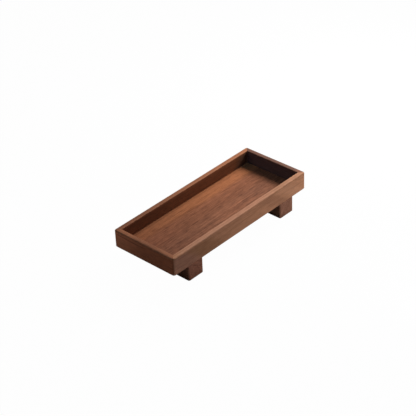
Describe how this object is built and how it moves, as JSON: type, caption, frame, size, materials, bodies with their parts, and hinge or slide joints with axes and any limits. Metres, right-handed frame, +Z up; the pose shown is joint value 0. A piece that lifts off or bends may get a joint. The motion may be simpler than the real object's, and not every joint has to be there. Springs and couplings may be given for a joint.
{
  "type": "tea tray",
  "caption": "Shallow rectangular wooden serving tray with mitred walls round a flush floor panel, raised on transverse foot bars so that fingers fit underneath.",
  "frame": {"origin": "on the table, under the middle of the tray", "axes": "+X along the length of the tray, +Y from the front wall to the back wall, +Z up"},
  "size_m": [0.285, 0.114, 0.053],
  "materials": {
    "wall_wood": "satin oiled brown hardwood, grain along the tray",
    "end_wall_wood": "satin oiled brown hardwood, grain across the tray",
    "floor_wood": "satin oiled brown hardwood, straight streaked grain along the tray",
    "foot_wood": "satin oiled brown hardwood, end grain on the front and back",
    "pale_wood": "bare pale hardwood, hidden inside the joints"
  },
  "bodies": {
    "root": {"front_wall": "wall_wood", "back_wall": "wall_wood", "left_wall": "end_wall_wood", "right_wall": "end_wall_wood", "floor_panel": "floor_wood", "left_foot": "foot_wood", "right_foot": "foot_wood", "corner_key_front_left": "pale_wood", "corner_key_front_right": "pale_wood", "corner_key_back_left": "pale_wood", "corner_key_back_right": "pale_wood", "dowel_left_front": "pale_wood", "dowel_left_back": "pale_wood", "dowel_right_front": "pale_wood", "dowel_right_back": "pale_wood"}
  },
  "joints": []
}
